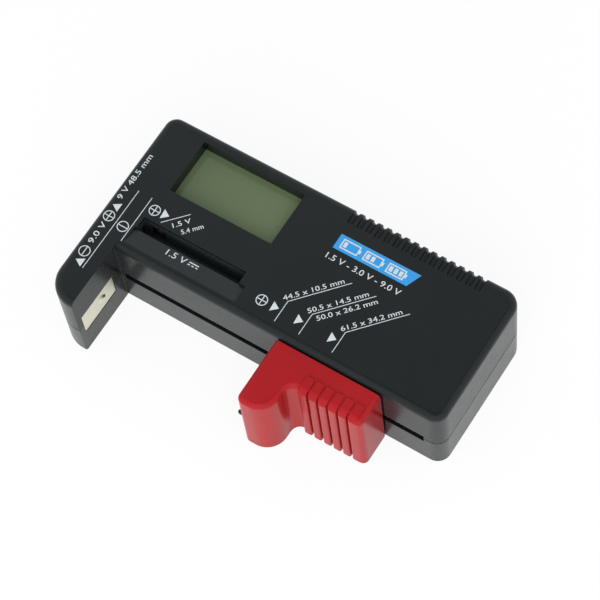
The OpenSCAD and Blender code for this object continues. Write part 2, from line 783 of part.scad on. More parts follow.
// Red lead from the contact rail to the board
module rail_lead() {
  x = rail_x0 + 3;
  y = rail_y + metal_t;
  z = board_z - rail_lead_drop;
  color(red) placed() lead([[x, y, z], [x, board_y0 + 2, z], [x, board_y0 + 2, board_z]]);
}

// Outline of the edge of the slider: d deep, with a top edge rounded in short flats
function round_outline(d, z0, z1, r) = concat(
  [[0, z0], [d, z0]],
  [for (turn = [0 : 18 : 90]) [d - r + r * cos(turn), z1 - r + r * sin(turn)]],
  [[0, z1]]
);

// A block with a flat back, a round top edge and round front corners, left and right
module slider_slab(x0, x1, y0, y1, z0, z1, r_left, r_right, r) {
  half_x = (x1 - x0) / 2;
  depth = y1 - y0;
  translate([x0 + r_left, y1, 0]) mirror([0, 1, 0]) rotate([90, 0, 90])
    linear_extrude(x1 - x0 - r_left - r_right) polygon(round_outline(depth, z0, z1, r));
  translate([x0 + half_x, y1, 0]) mirror([1, 0, 0]) rotate([90, 0, 0])
    linear_extrude(depth - r_left) polygon(round_outline(half_x, z0, z1, r));
  translate([x0 + half_x, y1, 0]) rotate([90, 0, 0])
    linear_extrude(depth - r_right) polygon(round_outline(half_x, z0, z1, r));
  translate([x0 + r_left, y0 + r_left, 0]) rotate([0, 0, 180]) rotate_extrude(angle = 90)
    polygon(round_outline(r_left, z0, z1, r));
  translate([x1 - r_right, y0 + r_right, 0]) rotate([0, 0, 270]) rotate_extrude(angle = 90)
    polygon(round_outline(r_right, z0, z1, r));
}

// Outline of the cutter for the cove: a round shaft that flares into the top edge
function cove_outline(z0, z1, r) = concat(
  [[0, z0 - 1], [cove_r, z0 - 1]],
  [for (turn = [0 : 18 : 90]) [cove_r + r - r * cos(turn), z1 - r + r * sin(turn)]],
  [[cove_r + r, z1 + 1], [0, z1 + 1]]
);

// Outline of a rib from above, with round corners in short flats
function rib_plan(half, front, end, r) = [
  for (turn = [180 : 30 : 270]) [r - half + r * cos(turn), front + r + r * sin(turn)],
  for (turn = [270 : 30 : 360]) [half - r + r * cos(turn), front + r + r * sin(turn)],
  for (turn = [0 : 30 : 90]) [half - r + r * cos(turn), end - r + r * sin(turn)],
  for (turn = [90 : 30 : 180]) [r - half + r * cos(turn), end - r + r * sin(turn)]
];

// A grip rib: up the front of the slider and over its top edge
module grip_rib(x) {
  root = slider_back - grip_d;
  front = root - grip_rib_rise;
  end = root + grip_rib_run;
  side = concat(
    [[end + eps, slider_z1 - 1], [root + 1, slider_z1 - 1]],
    [[root + 1, slider_z0 - 1], [front - eps, slider_z0 - 1]],
    [for (turn = [0 : 18 : 90]) [
      root + slider_fillet - (slider_fillet + grip_rib_rise + eps) * cos(turn),
      slider_z1 - slider_fillet + (slider_fillet + grip_rib_crown) * sin(turn)
    ]],
    [[end + eps, slider_z1 + grip_rib_crown]]
  );
  intersection() {
    translate([x - grip_rib_w, 0, 0]) rotate([90, 0, 90]) linear_extrude(2 * grip_rib_w) polygon(side);
    translate([x, 0, slider_z0]) linear_extrude(slider_h + 1)
      polygon(rib_plan(grip_rib_w / 2, front, end, grip_rib_edge));
  }
}

// The right end of the slider, which stands out nearly as far as the ribs
module grip_end(x0) {
  r = slider_corner_r;
  depth = grip_d + grip_rib_rise - eps;
  half = (slider_x1 - x0) / 2;
  translate([x0, slider_back, 0]) mirror([0, 1, 0]) rotate([90, 0, 90])
    linear_extrude(slider_x1 - x0 - r)
    polygon(round_outline(depth, slider_z0, slider_z1, slider_fillet));
  translate([x0 + half, slider_back, 0]) rotate([90, 0, 0]) linear_extrude(depth - r)
    polygon(round_outline(half, slider_z0, slider_z1, slider_fillet));
  translate([slider_x1 - r, slider_back - depth + r, 0]) rotate([0, 0, 270])
    rotate_extrude(angle = 90) polygon(round_outline(r, slider_z0, slider_z1, slider_fillet));
}

// Red slider: a thumb lobe at the left, ribs at the right, hollow from the back
module slider_body() {
  lobe_x1 = slider_x0 + lobe_w;
  rib_x0 = lobe_x1 + grip_rib_start;
  last_rib_x = rib_x0 + (slider_ribs - 1) * slider_pitch;
  grip_front = slider_back - grip_d;
  boss_z = seam_z + tongue_t / 2;
  hollow_top = slider_z1 - slider_wall;
  color(red) placed() difference() {
    union() {
      difference() {
        union() {
          slider_slab(slider_x0, lobe_x1, slider_front, slider_back, slider_z0, slider_z1,
            lobe_left_r, lobe_r, slider_fillet);
          slider_slab(slider_x0, slider_x1, grip_front, slider_back, slider_z0, slider_z1,
            slider_corner_r, slider_corner_r, slider_fillet);
          difference() {
            block([lobe_x1 - slider_fillet, grip_front - cove_r, slider_z0],
              [lobe_x1 + cove_r, grip_front + slider_fillet, slider_z1]);
            translate([lobe_x1 + cove_r + cove_step, grip_front - cove_r - cove_step, 0])
              rotate_extrude() polygon(cove_outline(slider_z0, slider_z1, slider_fillet));
          }
          for (i = [0 : slider_ribs - 1]) grip_rib(rib_x0 + i * slider_pitch);
          grip_end(last_rib_x - grip_rib_w / 2 + grip_rib_edge);
        }
        block([slider_x0 + slider_wall, grip_front + slider_wall, slider_z0 + slider_wall],
          [slider_x1 - slider_wall, slider_back + 1, hollow_top]);
        block([slider_x0 + slider_wall, slider_front + slider_wall + 1.4, slider_z0 + slider_wall],
          [lobe_x1 - slider_wall - 0.8, slider_back + 1, hollow_top]);
      }
      for (x = slider_screw_xs) translate([x, slider_screw_y, boss_z])
        cylinder(h = hollow_top - boss_z + eps, d = slider_boss_d);
    }
    for (x = slider_screw_xs) translate([x, slider_screw_y, 0]) {
      cylinder(h = boss_z + slider_screw_l, d = slider_screw_d);
      cylinder(h = slider_z0 + slider_wall + 1, d = slider_screw_head_d + 0.8);
    }
    block([slider_x0 - 1, slider_contact_y0 - pocket_gap, contact_z - contact_h / 2 - pocket_gap],
      [slider_pocket_x, contact_y1 + pocket_gap, contact_z + contact_h / 2 + pocket_gap]);
    block([slider_x0, contact_y1 - metal_t - 0.1, seam_z - 0.9],
      [slider_x0 + slider_wall + 1, contact_y1 + 0.1, seam_z + 0.9]);
    translate([slider_x0 - 1, slider_rivet_y, slider_rivet_z]) rotate([0, 90, 0])
      cylinder(h = slider_wall + 2, d = slider_rivet_d);
  }
}

// Carriage behind the front wall, with the tongue that passes through the slot
module slider_carriage() {
  color("#e4e0d4") placed() difference() {
    union() {
      block([carriage_x0, carriage_y0, seam_z - carriage_h / 2],
        [carriage_x1, carriage_y0 + carriage_d, seam_z + carriage_h / 2]);
      block([tongue_x0, slider_back - tongue_reach, seam_z - tongue_t / 2],
        [tongue_x1, carriage_y0 + eps, seam_z + tongue_t / 2]);
    }
    for (x = slider_screw_xs) translate([x, slider_screw_y, seam_z - tongue_t])
      cylinder(h = 2 * tongue_t, d = slider_screw_d + 0.3);
    for (x = wiper_screw_xs) translate([x, wiper_y + 1, seam_z]) rotate([90, 0, 0])
      cylinder(h = carriage_d + 2, d = wiper_screw_d);
  }
}

// Contact in the left face of the slider, with a tail through the slot to the wiper
module slider_contact() {
  inner_x = slider_x0 + slider_wall + 0.4;
  tail_half = 0.6;
  color(nickel) placed() difference() {
    union() {
      block([slider_pocket_x - metal_t, slider_contact_y0, contact_z - contact_h / 2],
        [slider_pocket_x, contact_y1, contact_z + contact_h / 2]);
      block([slider_pocket_x - eps, contact_y1 - metal_t, seam_z - tail_half],
        [inner_x + metal_t, contact_y1, seam_z + tail_half]);
      block([inner_x, contact_y1 - metal_t, seam_z - tail_half],
        [inner_x + metal_t, wiper_y + metal_t, seam_z + tail_half]);
    }
    translate([slider_x0 - 1, slider_rivet_y, slider_rivet_z]) rotate([0, 90, 0])
      cylinder(h = slider_wall + 2, d = slider_rivet_d);
  }
}

// Rivet that fixes the front end of the slider contact and stands out as its tip
module slider_rivet() {
  tip = slider_rivet_tip;
  dome = slider_rivet_dome;
  color("#4a3b34") placed() translate([slider_pocket_x - metal_t, slider_rivet_y, slider_rivet_z])
    rotate([0, 90, 0]) {
      translate([0, 0, dome - tip])
        cylinder(h = tip - dome + slider_wall - contact_sink, d = slider_rivet_d);
      translate([0, 0, -tip]) cylinder(h = dome, d1 = slider_rivet_d / 2, d2 = slider_rivet_d);
    }
}

// Bowed spring leaf on the carriage that follows the rail
module slider_wiper() {
  x0 = slider_x0 + slider_wall + 0.4 + metal_t;
  centre_y = wiper_y + wiper_bow - wiper_r;
  color(copper) placed() difference() {
    union() {
      block([x0, wiper_y, seam_z - wiper_h / 2], [carriage_x1, wiper_y + metal_t, seam_z + wiper_h / 2]);
      translate([wiper_mid, centre_y, seam_z - wiper_h / 2]) intersection() {
        difference() {
          cylinder(h = wiper_h, r = wiper_r);
          translate([0, 0, -1]) cylinder(h = wiper_h + 2, r = wiper_r - metal_t);
        }
        translate([-wiper_span, wiper_r - wiper_bow, -1]) cube([2 * wiper_span, wiper_bow + 1, wiper_h + 2]);
      }
    }
    for (x = wiper_screw_xs) translate([x, wiper_y + metal_t + 1, seam_z]) rotate([90, 0, 0])
      cylinder(h = metal_t + 2, d = wiper_screw_d + 0.2);
  }
}

// Screws that hold the wiper to the carriage
module wiper_screws() {
  color(steel) placed() for (x = wiper_screw_xs) translate([x, wiper_y + metal_t, seam_z]) rotate([90, 0, 0])
    screw(wiper_screw_d, carriage_d, wiper_screw_head_d, wiper_screw_head_h);
}

// Screws that hold the tongue of the carriage to the slider
module slider_screws() {
  color(steel) placed() for (x = slider_screw_xs)
    translate([x, slider_screw_y, seam_z - tongue_t / 2])
      screw(slider_screw_d, slider_screw_l, slider_screw_head_d, slider_screw_head_h);
}

top_case();
bottom_case();
case_screws();
display_front_glass();
display_rear_glass();
display_reflector();
display_frame();
zebra_strip();
circuit_board();
board_screws();
display_chip();
converter_chip();
boost_inductor();
storage_capacitor();
chip_capacitors();
chip_resistors();
load_resistor();
blocking_diode();
arm_contact();
small_cell_contact();
nine_volt_plus_contact();
nine_volt_minus_contact();
contact_rail();
rail_screws();
arm_lead();
small_cell_lead();
nine_volt_plus_lead();
nine_volt_minus_lead();
rail_lead();
slider_body();
slider_carriage();
slider_contact();
slider_rivet();
slider_wiper();
wiper_screws();
slider_screws();
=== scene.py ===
import math

import bmesh
import bpy
from mathutils import Matrix, Vector


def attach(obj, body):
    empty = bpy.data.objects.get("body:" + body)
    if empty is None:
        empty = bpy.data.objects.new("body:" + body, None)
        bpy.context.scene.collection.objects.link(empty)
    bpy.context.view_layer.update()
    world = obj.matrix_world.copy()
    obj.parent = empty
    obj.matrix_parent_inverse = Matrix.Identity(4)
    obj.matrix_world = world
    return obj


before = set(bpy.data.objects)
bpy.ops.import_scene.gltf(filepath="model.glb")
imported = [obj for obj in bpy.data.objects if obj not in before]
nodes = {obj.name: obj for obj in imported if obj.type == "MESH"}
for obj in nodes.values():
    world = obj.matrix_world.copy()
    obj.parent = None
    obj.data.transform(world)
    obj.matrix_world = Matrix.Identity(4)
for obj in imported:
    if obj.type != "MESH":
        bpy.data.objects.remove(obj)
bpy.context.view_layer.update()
scene = bpy.context.scene
MM = 0.001

# Main sizes of the case in millimetres, as in the part's source
CASE_L = 110.0
BODY_D = 42.0
ARM_REACH = 20.0
CASE_H = 28.0
CELL_X0 = 11.4
CELL_X1 = 44.1
CELL_Y0 = 7.7
CELL_Y1 = 11.5
CELL_Z = 18.9
RAMP_X0 = 10.9
RAMP_X1 = 47.5
RAMP_Y0 = 2.6
RAMP_DROP = 0.9
SHIFT_X = CASE_L / 2
SHIFT_Y = (BODY_D - ARM_REACH) / 2


# Turns case millimetres, counted from the left face and the front wall, into the shared frame
def case_point(x, y, z):
    return Vector(((x - SHIFT_X) * MM, (y - SHIFT_Y) * MM, z * MM))


# Material helpers
def new_material(name):
    material = bpy.data.materials.new(name)
    material.use_nodes = True
    tree = material.node_tree
    shader = tree.nodes["Principled BSDF"]
    return material, tree, shader


def add_node(tree, kind, **values):
    node = tree.nodes.new(kind)
    for key, value in values.items():
        setattr(node, key, value)
    return node


# Links another socket to a socket, or sets a constant on it
def feed(tree, socket, value):
    if isinstance(value, bpy.types.NodeSocket):
        tree.links.new(value, socket)
    else:
        socket.default_value = value


def math_node(tree, operation, *terms):
    node = add_node(tree, "ShaderNodeMath", operation=operation)
    for socket, term in zip(node.inputs, terms):
        feed(tree, socket, term)
    return node.outputs["Value"]


# Multiplies one colour by another, by a share from nought to one
def multiply_colours(tree, share, colour, by):
    node = add_node(tree, "ShaderNodeMix", data_type="RGBA", blend_type="MULTIPLY")
    feed(tree, node.inputs["Factor"], share)
    feed(tree, node.inputs["A"], colour)
    feed(tree, node.inputs["B"], by)
    return node.outputs["Result"]


def object_coords(tree):
    return add_node(tree, "ShaderNodeTexCoord").outputs["Object"]


def split_axes(tree, coords):
    node = add_node(tree, "ShaderNodeSeparateXYZ")
    tree.links.new(coords, node.inputs["Vector"])
    return node.outputs


def noise(tree, coords, scale, detail=3.0, rough=0.55):
    node = add_node(tree, "ShaderNodeTexNoise")
    node.inputs["Scale"].default_value = scale
    node.inputs["Detail"].default_value = detail
    node.inputs["Roughness"].default_value = rough
    tree.links.new(coords, node.inputs["Vector"])
    return node.outputs["Fac"]


def ramp(tree, value, stops):
    node = add_node(tree, "ShaderNodeValToRGB")
    tree.links.new(value, node.inputs["Fac"])
    for element, (place, colour) in zip(node.color_ramp.elements, stops):
        element.position = place
        element.color = (*colour, 1.0)
    return node.outputs["Color"]


def map_range(tree, value, low, high, start=0.0, end=1.0, course="LINEAR"):
    node = add_node(tree, "ShaderNodeMapRange", interpolation_type=course)
    tree.links.new(value, node.inputs["Value"])
    node.inputs["From Min"].default_value = start
    node.inputs["From Max"].default_value = end
    node.inputs["To Min"].default_value = low
    node.inputs["To Max"].default_value = high
    return node.outputs["Result"]


def bump(tree, height, strength, distance):
    node = add_node(tree, "ShaderNodeBump")
    node.inputs["Strength"].default_value = strength
    node.inputs["Distance"].default_value = distance
    tree.links.new(height, node.inputs["Height"])
    return node


def round_edges(tree, bump_node, radius):
    node = add_node(tree, "ShaderNodeBevel", samples=6)
    node.inputs["Radius"].default_value = radius
    tree.links.new(node.outputs["Normal"], bump_node.inputs["Normal"])


def grey(value):
    return (value, value, value)


# Texture scales count per metre, and depths are in metres
CLOUD_SCALE = 60.0
STREAK_SCALE = 220.0
GRAIN_SCALE = 5200.0
GRAIN_STRENGTH = 0.06
RELIEF_DEPTH = 0.00004
ROLLING_SCALE = 900.0
ROLLING_DEPTH = 0.00003
SHEET_EDGE = 0.0001
SPOT_SCALE = 700.0
FILM_SCALE = 1500.0
INK_SCALE = 2600.0
TRACK_SCALE = 120.0


# Moulded plastic: fine spark-eroded grain, slight cloudiness in colour and gloss, softened edges,
# and painted shade: the colour is darker in narrow hollows and near other parts, where less light reaches
def moulded_plastic(name, dark, light, rough, edge, gloss, painted_hollow_shade, reach, own_only):
    material, tree, shader = new_material(name)
    coords = object_coords(tree)
    clouds = noise(tree, coords, CLOUD_SCALE, 4.0)
    colour = ramp(tree, clouds, [(0.3, dark), (0.7, light)])
    openness = add_node(tree, "ShaderNodeAmbientOcclusion", samples=8, only_local=own_only)
    openness.inputs["Distance"].default_value = reach
    # Painted shade: ambient occlusion darkens the base colour towards the hollow colour
    shade = ramp(tree, openness.outputs["AO"], [(0.35, painted_hollow_shade), (0.85, grey(1.0))])
    tree.links.new(multiply_colours(tree, 1.0, colour, shade), shader.inputs["Base Color"])
    streaks = noise(tree, coords, STREAK_SCALE, 2.0)
    tree.links.new(map_range(tree, streaks, *rough), shader.inputs["Roughness"])
    fine = noise(tree, coords, GRAIN_SCALE, 2.0, 0.6)
    relief = bump(tree, fine, GRAIN_STRENGTH, RELIEF_DEPTH)
    round_edges(tree, relief, edge)
    tree.links.new(relief.outputs["Normal"], shader.inputs["Normal"])
    shader.inputs["Specular IOR Level"].default_value = gloss
    return material


# Paints light into the colour of a material inside a box, given by two corners in the shared frame, by
# multiplying it
def painted_light_box(material, low, high, gain):
    tree = material.node_tree
    colour_in = tree.nodes["Principled BSDF"].inputs["Base Color"]
    axes = split_axes(tree, object_coords(tree))
    inside = 1.0
    for place, start, end in zip(axes, low, high):
        within = math_node(tree, "COMPARE", place, (start + end) / 2, (end - start) / 2)
        inside = math_node(tree, "MULTIPLY", inside, within)
    shaded = multiply_colours(tree, inside, colour_in.links[0].from_socket, (*grey(gain), 1.0))
    tree.links.new(shaded, colour_in)


# Plated or bare sheet metal with rolling marks along one axis
def sheet_metal(name, dark, light, rough, stretch):
    material, tree, shader = new_material(name)
    mapping = add_node(tree, "ShaderNodeMapping")
    mapping.inputs["Scale"].default_value = stretch
    tree.links.new(object_coords(tree), mapping.inputs["Vector"])
    lines = noise(tree, mapping.outputs["Vector"], ROLLING_SCALE)
    tree.links.new(ramp(tree, lines, [(0.3, dark), (0.7, light)]), shader.inputs["Base Color"])
    tree.links.new(map_range(tree, lines, *rough), shader.inputs["Roughness"])
    relief = bump(tree, lines, 0.08, ROLLING_DEPTH)
    round_edges(tree, relief, SHEET_EDGE)
    tree.links.new(relief.outputs["Normal"], shader.inputs["Normal"])
    shader.inputs["Metallic"].default_value = 1.0
    return material


# Small parts with a mottled dull surface
def dull_part(name, dark, light, rough):
    material, tree, shader = new_material(name)
    spots = noise(tree, object_coords(tree), SPOT_SCALE)
    tree.links.new(ramp(tree, spots, [(0.35, dark), (0.65, light)]), shader.inputs["Base Color"])
    tree.links.new(map_range(tree, spots, rough - 0.08, rough + 0.08), shader.inputs["Roughness"])
    relief = bump(tree, spots, 0.15, RELIEF_DEPTH)
    tree.links.new(relief.outputs["Normal"], shader.inputs["Normal"])
    return material


# Pane of the display: grey green film under glass, a little lighter towards the right
FILM_X0 = 12.0
FILM_X1 = 46.0
FILM_LEFT = (0.089, 0.125, 0.060)
FILM_RIGHT = (0.107, 0.148, 0.070)


def display_film(name):
    material, tree, shader = new_material(name)
    coords = object_coords(tree)
    left = case_point(FILM_X0, 0.0, 0.0).x
    right = case_point(FILM_X1, 0.0, 0.0).x
    across = map_range(tree, split_axes(tree, coords)["X"], 0.0, 1.0, left, right)
    shade = ramp(tree, across, [(0.0, FILM_LEFT), (1.0, FILM_RIGHT)])
    grain = noise(tree, coords, FILM_SCALE, 2.0)
    specks = ramp(tree, grain, [(0.35, grey(0.75)), (0.65, grey(1.0))])
    tree.links.new(multiply_colours(tree, 0.12, shade, specks), shader.inputs["Base Color"])
    tree.links.new(map_range(tree, grain, 0.10, 0.18), shader.inputs["Roughness"])
    return material


# Printing ink: matt, with a slightly uneven cover
def printing_ink(name, thin, full):
    material, tree, shader = new_material(name)
    cover = noise(tree, object_coords(tree), INK_SCALE)
    tree.links.new(ramp(tree, cover, [(0.25, thin), (0.6, full)]), shader.inputs["Base Color"])
    tree.links.new(map_range(tree, cover, 0.45, 0.6), shader.inputs["Roughness"])
    return material


# Circuit board lacquer with faint tracks under it
BOARD_DARK = (0.012, 0.075, 0.03)
BOARD_LIGHT = (0.03, 0.13, 0.05)


def board_lacquer(name):
    material, tree, shader = new_material(name)
    tracks = add_node(tree, "ShaderNodeTexWave", wave_type="BANDS", bands_direction="DIAGONAL")
    tracks.inputs["Scale"].default_value = TRACK_SCALE
    tracks.inputs["Distortion"].default_value = 2.0
    tree.links.new(object_coords(tree), tracks.inputs["Vector"])
    colour = ramp(tree, tracks.outputs["Fac"], [(0.45, BOARD_DARK), (0.55, BOARD_LIGHT)])
    tree.links.new(colour, shader.inputs["Base Color"])
    relief = bump(tree, tracks.outputs["Fac"], 0.2, RELIEF_DEPTH)
    tree.links.new(relief.outputs["Normal"], shader.inputs["Normal"])
    shader.inputs["Roughness"].default_value = 0.3
    return material


# Plastics
CASE_LOOK = {
    "dark": (0.0078, 0.0102, 0.0109),
    "light": (0.0092, 0.0120, 0.0128),
    "rough": (0.22, 0.31),
    "edge": 0.00022,
    "reach": 0.006,
    "own_only": False,
}
# The hollow colours of the plastics are painted shade
upper_black = moulded_plastic("upper_black", gloss=0.30, painted_hollow_shade=grey(0.5), **CASE_LOOK)
lower_black = moulded_plastic("lower_black", gloss=0.58, painted_hollow_shade=grey(0.25), **CASE_LOOK)
slider_red = moulded_plastic(
    "slider_red", dark=(0.302, 0.0095, 0.0118), light=(0.330, 0.0117, 0.0142), rough=(0.17, 0.25),
    edge=0.00025, gloss=0.15, painted_hollow_shade=(1.0, 0.62, 0.62), reach=0.0016, own_only=True)
white_plastic = moulded_plastic(
    "white_plastic", dark=(0.62, 0.61, 0.56), light=(0.72, 0.71, 0.66), rough=(0.4, 0.5),
    edge=0.0002, gloss=0.5, painted_hollow_shade=grey(0.7), reach=0.002, own_only=True)

# Painted light: the strip in front of the button cell slot and the slot itself are made paler in colour
STRIP_DEPTH = 1.5
STRIP_PAINTED_LIGHT = 1.75
SLOT_RIM = 1.0
SLOT_PAINTED_LIGHT = 4.2
strip_low = case_point(RAMP_X0, RAMP_Y0, CASE_H - STRIP_DEPTH)
strip_high = case_point(RAMP_X1, CELL_Y0, CASE_H)
painted_light_box(upper_black, strip_low, strip_high, STRIP_PAINTED_LIGHT)
slot_low = case_point(CELL_X0, CELL_Y0, CELL_Z)
slot_high = case_point(CELL_X1, CELL_Y1, CASE_H - SLOT_RIM)
painted_light_box(upper_black, slot_low, slot_high, SLOT_PAINTED_LIGHT)

# Metals, with the stretch of their rolling marks along each axis
UPRIGHT = (0.08, 0.08, 1.0)
LENGTHWISE = (0.05, 1.0, 1.0)
TURNED = (1.0, 1.0, 0.2)
nickel = sheet_metal("nickel", (0.66, 0.64, 0.57), (0.80, 0.79, 0.72), (0.20, 0.34), UPRIGHT)
tinned = sheet_metal("tinned_plate", (0.80, 0.79, 0.65), (0.88, 0.87, 0.73), (0.34, 0.48), UPRIGHT)
brass = sheet_metal("brass_strip", (0.62, 0.43, 0.18), (0.76, 0.56, 0.27), (0.22, 0.36), LENGTHWISE)
bronze = sheet_metal("spring_bronze", (0.50, 0.28, 0.15), (0.64, 0.38, 0.22), (0.22, 0.36), LENGTHWISE)
steel = sheet_metal("zinc_steel", (0.40, 0.41, 0.42), (0.58, 0.58, 0.57), (0.28, 0.42), TURNED)

# Display, inks and wires
display_pane = display_film("display_film")
white_ink = printing_ink("white_ink", (0.42, 0.465, 0.48), (0.565, 0.61, 0.625))
blue_ink = printing_ink("blue_ink", (0.018, 0.22, 0.55), (0.028, 0.28, 0.63))
wire_black = dull_part("wire_black", grey(0.008), grey(0.014), 0.5)
wire_red = dull_part("wire_red", (0.34, 0.012, 0.012), (0.42, 0.02, 0.02), 0.5)
wire_white = dull_part("wire_white", (0.62, 0.62, 0.60), (0.72, 0.72, 0.70), 0.5)

MATERIALS = {
    "top_case": upper_black,
    "bottom_case": lower_black,
    "case_screws": steel,
    "display_front_glass": display_pane,
    "display_rear_glass": display_pane,
    "display_reflector": dull_part("reflector_sheet", (0.30, 0.34, 0.25), (0.38, 0.42, 0.32), 0.45),
    "display_frame": white_plastic,
    "zebra_strip": dull_part("strip_rubber", (0.06, 0.065, 0.07), (0.12, 0.125, 0.13), 0.7),
    "circuit_board": board_lacquer("board_lacquer"),
    "board_screws": steel,
    "display_chip": dull_part("chip_resin", (0.008, 0.008, 0.009), (0.014, 0.014, 0.015), 0.35),
    "converter_chip": dull_part("chip_body", (0.012, 0.012, 0.013), (0.02, 0.02, 0.021), 0.5),
    "boost_inductor": dull_part("ferrite", (0.02, 0.02, 0.022), (0.04, 0.04, 0.042), 0.6),
    "storage_capacitor": dull_part("capacitor_sleeve", (0.02, 0.04, 0.10), (0.03, 0.055, 0.13), 0.35),
    "chip_capacitors": dull_part("ceramic_tan", (0.30, 0.22, 0.13), (0.40, 0.30, 0.18), 0.5),
    "chip_resistors": dull_part("resistor_black", (0.012, 0.012, 0.013), (0.02, 0.02, 0.02), 0.45),
    "load_resistor": dull_part("resistor_beige", (0.50, 0.40, 0.26), (0.60, 0.50, 0.34), 0.4),
    "blocking_diode": dull_part("diode_glass", (0.22, 0.05, 0.02), (0.32, 0.09, 0.03), 0.25),
    "arm_contact": tinned,
    # Painted shade: the small cell contact is coloured near black and dull instead of bright metal, for
    # the shade inside the slot
    "small_cell_contact": dull_part("painted_shade_bronze", (0.010, 0.008, 0.007), (0.018, 0.014, 0.012), 0.6),
    "nine_volt_plus_contact": nickel,
    "nine_volt_minus_contact": nickel,
    "contact_rail": brass,
    "rail_screws": steel,
    "arm_lead": wire_black,
    "small_cell_lead": wire_white,
    "nine_volt_plus_lead": wire_red,
    "nine_volt_minus_lead": wire_black,
    "rail_lead": wire_red,
    "slider_body": slider_red,
    "slider_carriage": white_plastic,
    "slider_contact": nickel,
    "slider_rivet": dull_part("rivet_black", (0.006, 0.005, 0.005), (0.012, 0.010, 0.010), 0.55),
    "slider_wiper": bronze,
    "wiper_screws": steel,
    "slider_screws": steel,
}

for name, material in MATERIALS.items():
    mesh = nodes[name].data
    mesh.materials.clear()
    mesh.materials.append(material)

# Sizes of the print in millimetres: the ink floats a hair above the face that carries it
INK_LIFT = 0.012
INK_T = 0.02
LINE_W = 0.20
SIGN_R = 1.65
SIGN_W = 0.26
SIGN_GAP = 0.05
RING_STEPS = 32
ARROW_SIDES = [(0.22, -3.0), (2.18, -1.28)]
SIDE_ARROW_HALF_W = 1.35
TEXT_H = 1.5
DIAGONAL = 48.0
ACROSS = 90.0

# Size of the built-in font over the height of its capitals, and how far its strokes are made bolder
FONT_SCALE = 1.36
FONT_WEIGHT = 0.01


# Point at a distance along and across a direction from a start
def turned_point(x, y, angle, along, across):
    c = math.cos(math.radians(angle))
    s = math.sin(math.radians(angle))
    return x + along * c - across * s, y + along * s + across * c


# Flat mesh of a text, starting at the origin
def flat_text(body, height):
    curve = bpy.data.curves.new("number", "FONT")
    curve.body = body
    curve.size = height * FONT_SCALE
    curve.resolution_u = 3
    curve.offset = FONT_WEIGHT
    maker = bpy.data.objects.new("number", curve)
    scene.collection.objects.link(maker)
    depsgraph = bpy.context.evaluated_depsgraph_get()
    flat = bpy.data.meshes.new_from_object(maker.evaluated_get(depsgraph))
    bpy.data.objects.remove(maker)
    shape = bmesh.new()
    shape.from_mesh(flat)
    bpy.data.meshes.remove(flat)
    bmesh.ops.remove_doubles(shape, verts=shape.verts, dist=0.001)
    return shape


